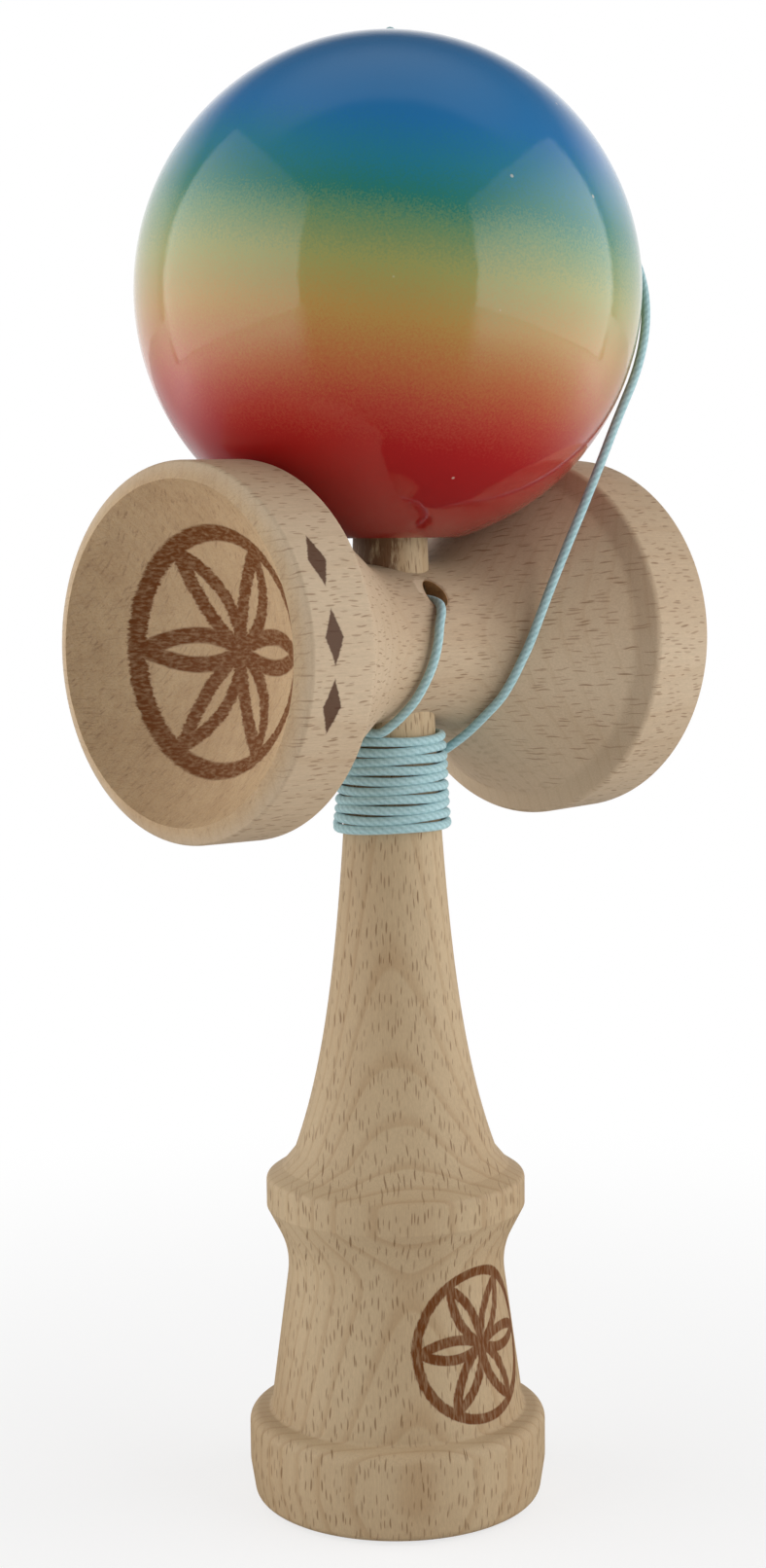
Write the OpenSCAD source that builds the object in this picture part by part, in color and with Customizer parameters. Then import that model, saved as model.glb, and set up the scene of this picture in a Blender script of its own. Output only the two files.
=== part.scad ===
// Cup and ball toy: a turned handle with a spike, a crosspiece with two cups, and a ball
// on a string that is wound on the handle's neck. Z runs up the handle and X along the
// crosspiece, towards its big cup. The origin lies under the middle of the base cup.

/* [Ball] */
// Diameter of the ball
ball_d = 60; // [56:0.5:66]
// Diameter of the hole that takes the spike
hole_d = 15; // [12:0.1:20]
// Width of the bevel round that hole's mouth
hole_bevel = 0.7; // [0.2:0.1:2]
// Angle between the sides of the hole's pointed end
hole_point_angle = 118; // [90:1:140]
// Diameter of the hole that lets the string in at the top
string_hole_d = 3; // [2:0.1:4]
// Width of the countersink round the string's hole
string_hole_bevel = 1.7; // [1.2:0.1:2.5]

/* [Base cup] */
// Diameter of the base cup
base_d = 36.4; // [34:0.1:40]
// Diameter that its side draws in to at the floor
base_foot_d = 34.9; // [33:0.1:36]
// Height over which its side draws in
base_draw_h = 4.8; // [3.5:0.1:6.5]
// Height of the base cup
base_h = 10.6; // [10:0.1:14]
// Width of its lip
base_lip_w = 3; // [2.5:0.1:4]
// Depth of its bowl
base_bowl_depth = 6; // [4.5:0.1:8]

/* [Grip and collar] */
// Diameter at the grip's foot
grip_foot_d = 31.1; // [29:0.1:33]
// Diameter at the grip's waist, before the waist is rounded
grip_waist_d = 25.8; // [23:0.1:28]
// Height of the waist above the base cup
grip_waist_h = 20.2; // [17:0.1:22]
// Height of the grip, up to the collar
grip_h = 25.8; // [24:0.1:29]
// Diameter of the collar
collar_d = 31.6; // [30:0.1:35]
// Height of the collar's band
collar_h = 3.6; // [3:0.1:6]
// Diameter at the foot of the neck
shoulder_d = 27.7; // [25:0.1:29]

/* [Neck and spike] */
// Height of the neck, from the collar to the crosspiece's axis
neck_h = 64.8; // [60:0.1:70]
// Diameter of the shank at the crosspiece's axis
shank_d = 9.8; // [8:0.1:11]
// Taper of the shank and spike, in radius per length
shank_taper = 0.035; // [0.02:0.001:0.045]
// How far the neck flares out beyond the shank's taper
neck_flare = 5.5; // [4:0.05:7]
// Height over which the flare fades
neck_fade = 16.9; // [12:0.1:22]
// Length of the spike above the crosspiece's axis
spike_l = 47; // [43:0.5:50]
// Rounding of the spike's tip
tip_round = 2; // [0.5:0.1:2.5]

/* [Crosspiece] */
// Reach of each cup's rim from the handle's axis
cup_reach = 34.1; // [32:0.1:38]
// Diameter of the big cup, at the back of its band
big_cup_d = 44.8; // [42:0.1:47]
// Width of the big cup's band
big_band_w = 10.6; // [8:0.1:12]
// Depth of the big cup's bowl
big_bowl_depth = 10.5; // [8:0.1:13]
// Diameter of the small cup, at the back of its band
small_cup_d = 43.1; // [40:0.1:45]
// Width of the small cup's band
small_band_w = 10.1; // [8:0.1:12]
// Depth of the small cup's bowl
small_bowl_depth = 10; // [8:0.1:13]
// How far each cup's band draws in towards its lip
band_draw = 0.25; // [0:0.05:0.6]
// Width of the two cups' lips
lip_w = 2.5; // [2:0.1:3]
// Diameter of the waist between the cups
waist_d = 19.1; // [17.5:0.1:22]
// Length of the waist
waist_l = 14.2; // [10:0.1:18]
// Rounding between the waist and the flares
flare_round = 10; // [4:0.5:14]
// Width of the hollow behind each cup's band
ridge_w = 1.5; // [1:0.1:2.2]
// Rise from the flare to the band over that width
ridge_rise = 2.6; // [1.6:0.1:3]
// Rounding of the edge behind each cup's band
ridge_round = 1; // [0.5:0.1:1.5]
// Rounding of each cup's outer rim
rim_round = 1.6; // [1:0.1:1.8]
// Easing of the edge inside each lip
lip_ease = 0.5; // [0.2:0.1:0.8]

/* [String] */
// Diameter of the cord
cord_d = 1.1; // [0.9:0.05:1.3]
// Diameter that the cord is drawn at in the winding, so that its turns lie apart
wound_d = 0.72; // [0.5:0.02:0.74]
// Rise of one turn of the winding
winding_pitch = 1.15; // [1.13:0.01:1.25]
// Whole turns in the winding
winding_turns = 10; // [6:1:10]
// Drop of the first turn below the crosspiece's axis
winding_drop = 10.4; // [10.4:0.1:12]
// Height of the string's hole above the crosspiece's axis
cord_hole_h = 5.9; // [4:0.1:6]
// Diameter of the string's hole in the crosspiece
cord_hole_d = 3.2; // [2.6:0.1:4]
// Diameter of the knots
knot_d = 2.8; // [2.4:0.1:3]
// Diameter of the pocket in the shank that holds the first knot
pocket_d = 3.4; // [3.2:0.1:4]
// Depth of that pocket
pocket_depth = 5.4; // [4.5:0.1:6]
// Diameter of the bead inside the ball
bead_d = 6.8; // [5:0.1:8]
// Diameter of the bead's bore
bead_bore_d = 1.9; // [1.5:0.1:2.4]

/* [Clearances] */
// Gap between pieces that rest on each other
seat_gap = 0.25; // [0.2:0.05:0.4]
// Gap of the shank in the crosspiece
fit_gap = 0.05; // [0.02:0.01:0.1]
// Gap between the cord and the neck that it is wound on
wrap_gap = 0.1; // [0.05:0.01:0.2]
// Gap between two stretches of the string
join_gap = 0.05; // [0.02:0.01:0.1]
// Room between the spike's tip and the knot above it
tip_gap = 2; // [1:0.1:4]

/* [Hidden] */
$fn = 96;

// Steps in a rounded corner and in the neck's curve
arc_steps = 7;
neck_steps = 18;
// Cuts run this far past the faces that they open
past = 1;

// Heights up the handle
grip_z = base_h;
collar_z = grip_z + grip_h;
shoulder_z = collar_z + collar_h;
cross_z = shoulder_z + neck_h;
tip_z = cross_z + spike_l;
// Step from the base cup to the grip, and the shoulder's rise to the neck
grip_step = 0.5;
shoulder_h = 1.3;
neck_foot_h = 3.2;
// Rounded corners of the handle's outline
foot_round = 1.5;
base_round = 1.7;
step_round = 0.6;
grip_round = 10;
collar_round = 0.5;
roll_round = 0.9;

// Radii
ball_r = ball_d / 2;
hole_r = hole_d / 2;
waist_r = waist_d / 2;
big_r = big_cup_d / 2;
small_r = small_cup_d / 2;
big_lip_r = big_r - band_draw;
small_lip_r = small_r - band_draw;
cord_r = cord_d / 2;
bead_r = bead_d / 2;

// Radius of the shank and spike, a plain taper
function shank_r(z) = shank_d / 2 + shank_taper * (cross_z - z);
// The taper starts just under the crosspiece, where the neck's flare has faded out
seat_z = cross_z - waist_r - past;
neck_foot_z = shoulder_z + neck_foot_h;
function flare(z) = exp((neck_foot_z - z) / neck_fade);
function neck_r(z) = shank_r(z) + (z < seat_z ? neck_flare * (flare(z) - flare(seat_z)) : 0);

// The ball rests in the saddle between the cups, on a flare or on the edge behind a band
hollow_round = 2.5;
function flare_end_x(band_w) = cup_reach - band_w - ridge_w;
function flare_angle(r, band_w) = atan2(r - ridge_rise - waist_r, flare_end_x(band_w) - waist_l / 2);
ridge_angle = atan2(ridge_rise, ridge_w);
function ridge_x(band_w) = cup_reach - band_w + ridge_round * tan(ridge_angle / 2);
function rest_on_ridge(r, band_w) =
    r - ridge_round + sqrt((ball_r + seat_gap + ridge_round) ^ 2 - ridge_x(band_w) ^ 2);
function rest_on_flare(r, band_w) = let (a = flare_angle(r, band_w))
    waist_r + (ball_r + seat_gap - waist_l / 2 * sin(a)) / cos(a);
function rest_h(r, band_w) = max(rest_on_ridge(r, band_w), rest_on_flare(r, band_w));
ball_z = cross_z + max(rest_h(big_r, big_band_w), rest_h(small_r, small_band_w));
ball_top_z = ball_z + ball_r;

// Above the spike's tip come the string's knot, the bead and the hole's pointed end
knot_wraps = 3;
wrap_d = knot_d / knot_wraps;
knot_l = knot_wraps * wrap_d;
stop_knot_z = tip_z + tip_gap + knot_l / 2;
bead_z = stop_knot_z + knot_l / 2 + wrap_gap + bead_r;
hole_apex_z = bead_z + (bead_r + seat_gap) / sin(hole_point_angle / 2);
hole_end_z = hole_apex_z - hole_r / tan(hole_point_angle / 2);
mouth_r = hole_r + hole_bevel;
mouth_z = ball_z - sqrt(ball_r ^ 2 - mouth_r ^ 2);
countersink_r = string_hole_d / 2 + string_hole_bevel;
countersink_z = ball_z + sqrt(ball_r ^ 2 - countersink_r ^ 2);

// The first knot sits in the shank, in line with the string's hole in the crosspiece
cord_hole_z = cross_z + cord_hole_h;
pocket_end_y = pocket_depth - shank_r(cord_hole_z);
anchor_knot_y = pocket_end_y - wrap_gap - knot_l / 2;

// The winding goes down and round the way a clock's hands go, seen from above
rings_per_turn = 24;
winding_start_a = -165;
climb_start_a = -230;
climb_end_a = -348;
winding_top_z = cross_z - winding_drop;
climb_end_z = cross_z - 15.2;
function winding_z(a) = winding_top_z + winding_pitch * (a - winding_start_a) / 360;
// The last half turn steps over the turn above it, then climbs the winding's outside
helix_end_a = climb_start_a - 360 * winding_turns;
climb_a = climb_start_a - climb_end_a;
climb_step_share = 0.35;
climb_rise = climb_end_z - winding_z(helix_end_a - climb_a) - winding_pitch;
function ease(t) = t * t * (3 - 2 * t);
function step_a(t) = 90 * ease(min(t / climb_step_share, 1));
function climb_out(t) = winding_pitch * sin(step_a(t));
function climb_up(t) = winding_pitch * (1 - cos(step_a(t)))
    + climb_rise * pow(max((t - climb_step_share) / (1 - climb_step_share), 0), 1.3);
function winding_point(a) =
    let (t = max((helix_end_a - a) / climb_a, 0), z = winding_z(a) + climb_up(t),
        r = neck_r(z) + cord_r + wrap_gap + climb_out(t))
    [r * cos(a), r * sin(a), z];

// Vectors and curves
function unit(v) = v / norm(v);
function last(list) = list[len(list) - 1];
function headings(path) = [for (i = [0 : len(path) - 1])
    unit(path[min(i + 1, len(path) - 1)] - path[max(i - 1, 0)])];
function spline(a, b, c, d, t) = b + t / 2 * ((c - a)
    + t * (2 * a - 5 * b + 4 * c - d + t * (3 * b - a - 3 * c + d)));
function smooth(route, steps) = [for (i = [0 : len(route) - 2]) for (k = [0 : steps - 1])
    spline(route[max(i - 1, 0)], route[i], route[i + 1], route[min(i + 2, len(route) - 1)], k / steps),
    last(route)];
function square_to(normal, heading) = unit(normal - (normal * heading) * heading);
function normals(along) = [for (i = 0, n = square_to([0.3, 0.2, 1], along[0]); i < len(along);
    i = i + 1, n = i < len(along) ? square_to(n, along[i]) : n) n];

// Routes of the string. The free stretches' points stand about the crosspiece's centre.
winding_turn_path = [for (i = [0 : ceil((winding_start_a - helix_end_a + climb_a) * rings_per_turn / 360)])
    winding_point(max(winding_start_a - i * 360 / rings_per_turn, helix_end_a - climb_a))];
winding_ends = headings(winding_turn_path);
winding_in = winding_turn_path[0] - winding_ends[0] * wound_d;
winding_out = last(winding_turn_path) + last(winding_ends) * wound_d;
winding_path = concat([winding_in], winding_turn_path, [winding_out]);

lead_points = [[0, -5.4, cord_hole_h], [-0.1, -7.4, cord_hole_h - 0.1], [-0.7, -8.9, 5.1],
    [-1.5, -9.7, 4], [-2.1, -10.1, 2.6], [-2.7, -10.4, 0.5], [-3.3, -10.25, -1.8], [-3.9, -9.6, -4],
    [-4.4, -8.3, -6.3], [-4.8, -6.6, -8.1], [-5.1, -5, -9.4]];
riser_points = [[7.9, -2.4, -12.7], [8.6, -4.6, -11], [8.5, -7.8, -8.6], [8.9, -9.8, -6.6],
    [9.3, -11.3, -4.3], [9.8, -12.3, -2.1], [10.6, -13, 0.2], [12.1, -14.4, 5.6],
    [13.7, -15.9, 11.1], [15.2, -17.4, 16.2], [16.5, -18.8, 21], [17.9, -20.1, 25.9]];
function about_cross(points) = [for (p = points) p + [0, 0, cross_z]];

// The string climbs the ball's side, swings round to its back and bends down into its hole
ball_side_a = -48;
ball_swing_a = 78;
ball_start_a = -21;
over_r = ball_r + seat_gap + cord_r;
bend_r = 2.6;
bend_h = sqrt((over_r - bend_r) ^ 2 - bend_r ^ 2);
bend_start_a = acos(bend_r / (over_r - bend_r));
over_steps = 26;
bend_steps = 6;
tail_steps = 4;
tail_end_z = stop_knot_z + knot_l / 2;
function on_side(t, r, z) = let (side = ball_side_a + ball_swing_a * ease(t))
    [r * cos(side), r * sin(side), z];
over_ball_path = [
    for (i = [0 : over_steps])
        let (t = i / over_steps, a = ball_start_a + (bend_start_a - ball_start_a) * t)
        on_side(t, over_r * cos(a), ball_z + over_r * sin(a)),
    for (i = [1 : bend_steps])
        let (a = bend_start_a + (180 - bend_start_a) * i / bend_steps)
        on_side(1, bend_r * (1 + cos(a)), ball_z + bend_h + bend_r * sin(a)),
    for (i = [1 : tail_steps])
        on_side(1, 0, ball_z + bend_h + (tail_end_z - ball_z - bend_h) * i / tail_steps)];

lead_end = winding_in - winding_ends[0] * join_gap;
lead_path = smooth(concat([[0, anchor_knot_y - knot_l / 2, cord_hole_z]], about_cross(lead_points),
    [lead_end - winding_ends[0] * cord_d, lead_end]), 2);
riser_start = winding_out + last(winding_ends) * join_gap;
riser_end = over_ball_path[0] - headings(over_ball_path)[0] * join_gap;
riser_path = smooth(concat([riser_start], about_cross(riser_points), [riser_end]), 2);

// Least gap between the winding and itself, between points half a turn or more apart
winding_gap = min([for (i = [0 : len(winding_path) - 1])
    for (j = [i + rings_per_turn / 2 : 1 : len(winding_path) - 1])
        norm(winding_path[i] - winding_path[j])]) - wound_d;
echo(winding_gap = winding_gap);

// Arc that rounds the corner b between a and c, no larger than its two sides allow
function rounded(a, b, c, r) =
    let (u = unit(a - b), v = unit(c - b), half = acos(u * v) / 2,
        reach = min(r / tan(half), 0.48 * norm(a - b), 0.48 * norm(c - b)),
        centre = b + unit(u + v) * reach / cos(half), from = b + u * reach - centre,
        turn = (u.x * v.y - u.y * v.x > 0 ? -1 : 1) * (180 - 2 * half))
    r == 0 ? [b] : [for (i = [0 : arc_steps]) let (t = turn * i / arc_steps)
        centre + [from.x * cos(t) - from.y * sin(t), from.x * sin(t) + from.y * cos(t)]];
// Outline of a turned piece from its corners, each a radius, a height and a rounding
function outline(corners) = [for (i = [0 : len(corners) - 1])
    let (n = len(corners), a = corners[(i + n - 1) % n], b = corners[i], c = corners[(i + 1) % n])
    each rounded([a[0], a[1]], [b[0], b[1]], [c[0], c[1]], b[2])];

// Tube of a round cord along a path
module tube(path, d, sides) {
    along = headings(path);
    out = normals(along);
    points = [for (i = [0 : len(path) - 1]) for (k = [0 : sides - 1])
        path[i] + d / 2 * (cos(360 * k / sides) * out[i] + sin(360 * k / sides) * cross(along[i], out[i]))];
    end = (len(path) - 1) * sides;
    faces = [
        for (i = [0 : len(path) - 2]) for (k = [0 : sides - 1])
            let (a = i * sides + k, b = i * sides + (k + 1) % sides)
            each [[a, a + sides, b], [b, a + sides, b + sides]],
        for (k = [1 : sides - 2]) each [[0, k, k + 1], [end, end + k + 1, end + k]]];
    polyhedron(points, faces);
}

// Bowl that opens upwards from a mouth at z = 0, with the edge of its lip eased
module bowl(r, depth) {
    sphere_r = (r ^ 2 + depth ^ 2) / (2 * depth);
    translate([0, 0, sphere_r - depth]) sphere(sphere_r);
    translate([0, 0, -lip_ease]) cylinder(h = 2 * lip_ease, r1 = r - lip_ease / 2, r2 = r + 2.5 * lip_ease);
}

// Stopper knot of a few round wraps, along Z
module knot() {
    rotate_extrude() {
        for (i = [0 : knot_wraps - 1])
            translate([(knot_d - wrap_d) / 2, (i + 0.5) * wrap_d - knot_l / 2]) circle(d = wrap_d, $fn = 24);
        translate([0, -knot_l / 2]) square([(knot_d - wrap_d) / 2, knot_l]);
    }
}

// One turned piece: base cup, grip, collar, neck and spike
module handle() {
    lower = [[0, 0, 0], [base_foot_d / 2, 0, foot_round], [base_d / 2, base_draw_h, base_draw_h],
        [base_d / 2, base_h, base_round], [grip_foot_d / 2, grip_z + grip_step, step_round],
        [grip_waist_d / 2, grip_z + grip_waist_h, grip_round], [collar_d / 2, collar_z, collar_round],
        [collar_d / 2, shoulder_z, roll_round], [shoulder_d / 2, shoulder_z + shoulder_h, roll_round]];
    neck = [for (i = [0 : neck_steps]) let (z = neck_foot_z + (seat_z - neck_foot_z) * i / neck_steps)
        [neck_r(z), z, 0]];
    upper = [[shank_r(tip_z), tip_z, tip_round], [0, tip_z, 0]];
    color("burlywood") difference() {
        rotate_extrude() polygon(outline(concat(lower, neck, upper)));
        mirror([0, 0, 1]) bowl(base_foot_d / 2 - base_lip_w, base_bowl_depth);
        translate([0, pocket_end_y, cord_hole_z]) rotate([90, 0, 0])
            cylinder(h = shank_d + past, d = pocket_d);
    }
}

// One turned piece with a cup at each end, pushed on the handle's taper
module cup_crosspiece() {
    corners = [[0, -cup_reach, 0], [small_lip_r, -cup_reach, rim_round],
        [small_r, small_band_w - cup_reach, ridge_round],
        [small_r - ridge_rise, -flare_end_x(small_band_w), hollow_round],
        [waist_r, -waist_l / 2, flare_round], [waist_r, waist_l / 2, flare_round],
        [big_r - ridge_rise, flare_end_x(big_band_w), hollow_round],
        [big_r, cup_reach - big_band_w, ridge_round], [big_lip_r, cup_reach, rim_round], [0, cup_reach, 0]];
    bore_low_z = cross_z - waist_r - past;
    bore_high_z = cross_z + waist_r + past;
    color("tan") difference() {
        translate([0, 0, cross_z]) rotate([0, 90, 0]) difference() {
            rotate_extrude() polygon(outline(corners));
            translate([0, 0, cup_reach]) bowl(big_lip_r - lip_w, big_bowl_depth);
            mirror([0, 0, 1]) translate([0, 0, cup_reach]) bowl(small_lip_r - lip_w, small_bowl_depth);
        }
        translate([0, 0, bore_low_z]) cylinder(h = bore_high_z - bore_low_z,
            r1 = shank_r(bore_low_z) + fit_gap, r2 = shank_r(bore_high_z) + fit_gap);
        translate([0, 0, cord_hole_z]) rotate([90, 0, 0]) cylinder(h = waist_d, d = cord_hole_d);
    }
}

// Ball with a bevelled, pointed hole for the spike and a small hole for the string
module ball() {
    string_hole_r = string_hole_d / 2;
    string_hole_z = hole_apex_z - string_hole_r / tan(hole_point_angle / 2);
    color("firebrick") difference() {
        translate([0, 0, ball_z]) sphere(ball_r);
        rotate_extrude() polygon([[0, ball_z - ball_r - past], [mouth_r + past, ball_z - ball_r - past],
            [mouth_r + past, mouth_z - past], [mouth_r, mouth_z], [hole_r, mouth_z + hole_bevel],
            [hole_r, hole_end_z], [string_hole_r, string_hole_z],
            [string_hole_r, countersink_z - string_hole_bevel], [countersink_r, countersink_z],
            [countersink_r, ball_top_z + past], [0, ball_top_z + past]]);
    }
}

// Bead that keeps the string's knot from pulling through the ball
module bead() {
    color("ivory") difference() {
        translate([0, 0, bead_z]) sphere(bead_r);
        translate([0, 0, bead_z - bead_r - past]) cylinder(h = bead_d + 2 * past, d = bead_bore_d);
    }
}

module stop_knot() {
    color("lightcyan") translate([0, 0, stop_knot_z]) knot();
}

module anchor_knot() {
    color("lightcyan") translate([0, anchor_knot_y, cord_hole_z]) rotate([90, 0, 0]) knot();
}

// From the first knot out of the crosspiece and down to the neck
module string_lead() {
    color("powderblue") tube(lead_path, cord_d, 8);
}

module string_winding() {
    color("powderblue") tube(winding_path, wound_d, 6);
}

// From the winding round the crosspiece's flare to the side of the ball
module string_riser() {
    color("powderblue") tube(riser_path, cord_d, 8);
}

// Over the ball, into its string hole and down through the bead
module string_over_ball() {
    color("powderblue") tube(over_ball_path, cord_d, 8);
}

handle();
cup_crosspiece();
ball();
bead();
stop_knot();
anchor_knot();
string_lead();
string_winding();
string_riser();
string_over_ball();
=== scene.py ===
import math
import bmesh
import bpy
from mathutils import Matrix, Vector


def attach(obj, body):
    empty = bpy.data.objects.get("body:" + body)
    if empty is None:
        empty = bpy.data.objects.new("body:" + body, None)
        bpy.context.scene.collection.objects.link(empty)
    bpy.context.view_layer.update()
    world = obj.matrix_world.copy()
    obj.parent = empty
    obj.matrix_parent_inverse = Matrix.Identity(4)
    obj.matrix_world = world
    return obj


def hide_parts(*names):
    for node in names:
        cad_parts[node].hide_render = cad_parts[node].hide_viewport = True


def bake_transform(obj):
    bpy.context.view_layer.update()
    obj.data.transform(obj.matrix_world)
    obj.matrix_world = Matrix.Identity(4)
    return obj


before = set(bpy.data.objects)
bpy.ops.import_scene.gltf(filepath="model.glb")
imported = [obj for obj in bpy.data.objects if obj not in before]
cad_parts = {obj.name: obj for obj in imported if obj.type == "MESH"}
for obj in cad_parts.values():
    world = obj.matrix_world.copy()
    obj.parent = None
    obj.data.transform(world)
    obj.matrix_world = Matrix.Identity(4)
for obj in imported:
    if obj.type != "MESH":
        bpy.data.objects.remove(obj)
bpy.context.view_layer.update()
scene = bpy.context.scene
scene.view_settings.view_transform = "Standard"
mm = 0.001


# camera, set up for a frame of 788 x 1612
cameraLook = {
    "azimuth": -45.337,  # degrees round the handle
    "distance": 0.300225,
    "height": 0.117584,
    "pitch": 5.66,
    "roll": -0.519,
    "yaw": -0.2106,
    "focal": 2570.62,  # in pixels
    "rows": 1612,
    "sensor": 36,  # millimetres along the rows
    "clipStart": 0.01,
}


def turnedPair(a, b, angle):
    # two directions at right angles, turned from the first towards the second
    return a * math.cos(angle) + b * math.sin(angle), b * math.cos(angle) - a * math.sin(angle)


def aimCamera(look):
    turn, pitch, roll, yaw = (math.radians(look[key]) for key in ("azimuth", "pitch", "roll", "yaw"))
    place = Vector((math.sin(turn) * look["distance"], -math.cos(turn) * look["distance"], look["height"]))
    ahead = Vector((-math.sin(turn), math.cos(turn), 0))
    right = Vector((math.cos(turn), math.sin(turn), 0))
    ahead, right = turnedPair(ahead, right, yaw)
    ahead, up = turnedPair(ahead, Vector((0, 0, 1)), -pitch)
    right, up = turnedPair(right, up, roll)
    data = bpy.data.cameras.new("photoCamera")
    data.sensor_width = look["sensor"]
    data.lens = look["focal"] * look["sensor"] / look["rows"]
    data.clip_start = look["clipStart"]
    obj = bpy.data.objects.new("photoCamera", data)
    obj.matrix_world = Matrix.Translation(place) @ Matrix((right, up, -ahead)).transposed().to_4x4()
    scene.collection.objects.link(obj)
    scene.camera = obj
    return ahead, right


cameraAhead, cameraRight = aimCamera(cameraLook)
print("camera set")


# sizes that several pieces share, in millimetres
crossZ = 104.8
ballZ = 146.182
waistR = 9.55
seatRoom = 1  # past the crosspiece's waist, below and above
shankR = 4.9
taper = 0.035
neckFootZ = 43.2
neckFlare = 5.5
neckFlareFall = 16.9  # height in which the flare dies away
seatZ = crossZ - waistR - seatRoom
cordHoleZ = crossZ + 5.9


def shankAt(z):
    return shankR + taper * (crossZ - z)


def neckAt(z):
    flare = math.exp((neckFootZ - z) / neckFlareFall) - math.exp((neckFootZ - seatZ) / neckFlareFall)
    return shankAt(z) + (neckFlare * flare if z < seatZ else 0)


# shape helpers
def evenly(first, last, steps):
    return [first + (last - first) * i / steps for i in range(steps + 1)]


def eased(t):
    return t * t * (3 - 2 * t)


def polar(r, turn, z):
    return Vector((r * math.cos(turn), r * math.sin(turn), z))


def roundedProfile(corners, closed=False, steps=9, longest=0.48):
    # corners are (radius, height, rounding); a rounding takes up no more than a share of each side
    points = []
    count = len(corners)
    for i, (r, h, rounding) in enumerate(corners):
        corner = Vector((r, h))
        if not rounding or (not closed and i in (0, count - 1)):
            points.append(corner)
            continue
        back = Vector(corners[i - 1][:2]) - corner
        on = Vector(corners[(i + 1) % count][:2]) - corner
        u, v = back.normalized(), on.normalized()
        half = math.acos(max(-1, min(1, u.dot(v)))) / 2
        reach = min(rounding / math.tan(half), longest * back.length, longest * on.length)
        centre = corner + (u + v).normalized() * reach / math.cos(half)
        start = corner + u * reach - centre
        turn = (-1 if u.x * v.y - u.y * v.x > 0 else 1) * (math.pi - 2 * half)
        points += [centre + Matrix.Rotation(turn * k / steps, 2) @ start for k in range(steps + 1)]
    return points


def bowlArc(mouthR, depth, steps=26):
    # corners from the middle out, above the mouth's plane, for a bowl that opens downwards
    sphereR = (mouthR ** 2 + depth ** 2) / (2 * depth)
    arc = []
    for i in range(steps):
        r = mouthR * math.sin(math.pi / 2 * i / steps)
        arc.append((r, depth - sphereR + math.sqrt(sphereR ** 2 - r ** 2), 0))
    return arc


def shadeSmooth(mesh, sharpAngle=40):
    for face in mesh.polygons:
        face.use_smooth = True
    mesh.set_sharp_from_angle(angle=math.radians(sharpAngle))


def meshObject(name, bm, sharpAngle=40):
    mesh = bpy.data.meshes.new(name)
    bm.to_mesh(mesh)
    bm.free()
    shadeSmooth(mesh, sharpAngle)
    obj = bpy.data.objects.new(name, mesh)
    scene.collection.objects.link(obj)
    return obj


def layDown(bm, axis):
    bmesh.ops.rotate(bm, verts=bm.verts, cent=(0, 0, 0), matrix=Matrix.Rotation(math.pi / 2, 3, axis))


def shift(bm, place):
    bmesh.ops.translate(bm, verts=bm.verts, vec=[c * mm for c in place])


def turnedMesh(points, steps, closed=False):
    # spins a profile about Z
    bm = bmesh.new()
    verts = [bm.verts.new((p.x * mm, 0, p.y * mm)) for p in points]
    edges = [bm.edges.new(pair) for pair in zip(verts, verts[1:])]
    if closed:
        edges.append(bm.edges.new((verts[-1], verts[0])))
    bmesh.ops.spin(bm, geom=verts + edges, cent=(0, 0, 0), axis=(0, 0, 1), angle=2 * math.pi,
                   steps=steps, use_merge=True, use_duplicate=False)
    bmesh.ops.remove_doubles(bm, verts=bm.verts, dist=1e-6)
    bmesh.ops.dissolve_degenerate(bm, edges=bm.edges, dist=1e-7)
    bmesh.ops.recalc_face_normals(bm, faces=bm.faces)
    return bm


def coneCutter(r1, r2, low, high, towardsFront=False, segments=64):
    # between two heights about Z, or from the axis out to the front at the string's hole
    bm = bmesh.new()
    bmesh.ops.create_cone(bm, cap_ends=True, segments=segments, radius1=r1 * mm, radius2=r2 * mm,
                          depth=(high - low) * mm, matrix=Matrix.Translation((0, 0, (low + high) / 2 * mm)))
    if towardsFront:
        layDown(bm, "X")
        shift(bm, (0, 0, cordHoleZ))
    return bm


def cutAway(obj, bm):
    # takes a cutter's shape out of a piece and drops the cutter
    cutter = meshObject(obj.name + "Cutter", bm)
    cut = obj.modifiers.new("cut", "BOOLEAN")
    cut.operation = "DIFFERENCE"
    cut.solver = "EXACT"
    cut.object = cutter
    bpy.context.view_layer.update()
    mesh = bpy.data.meshes.new_from_object(obj.evaluated_get(bpy.context.evaluated_depsgraph_get()))
    obj.modifiers.clear()
    spares = (obj.data, cutter.data)
    obj.data = mesh
    bpy.data.objects.remove(cutter)
    for spare in spares:
        bpy.data.meshes.remove(spare)
    mesh.name = obj.name
    shadeSmooth(mesh)


# handle: base cup, grip, collar, neck and spike turned from one stick
handleShape = {
    "base": (17.45, 18.2, 4.8, 10.6),  # foot radius, widest radius, its height, height
    "bowl": (14.95, 6.0),  # mouth radius, depth
    "grip": (15.55, 12.9, 20.2, 25.8),  # foot radius, waist radius, its height, height
    "gripStep": 0.5,
    "collar": (15.8, 3.6),  # radius, height
    "shoulder": (13.85, 1.3),  # radius, height
    "neckSteps": 40,
    "tip": 151.8,
    "rounding": {"lip": 0.3, "foot": 1.5, "base": 1.7, "step": 0.6, "waist": 10, "collar": 0.5, "roll": 0.9,
                 "tip": 2},
    "pocket": (1.7, 5.4, 12),  # radius, depth, how far out its cutter reaches
    "spinSteps": 180,
}


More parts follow.
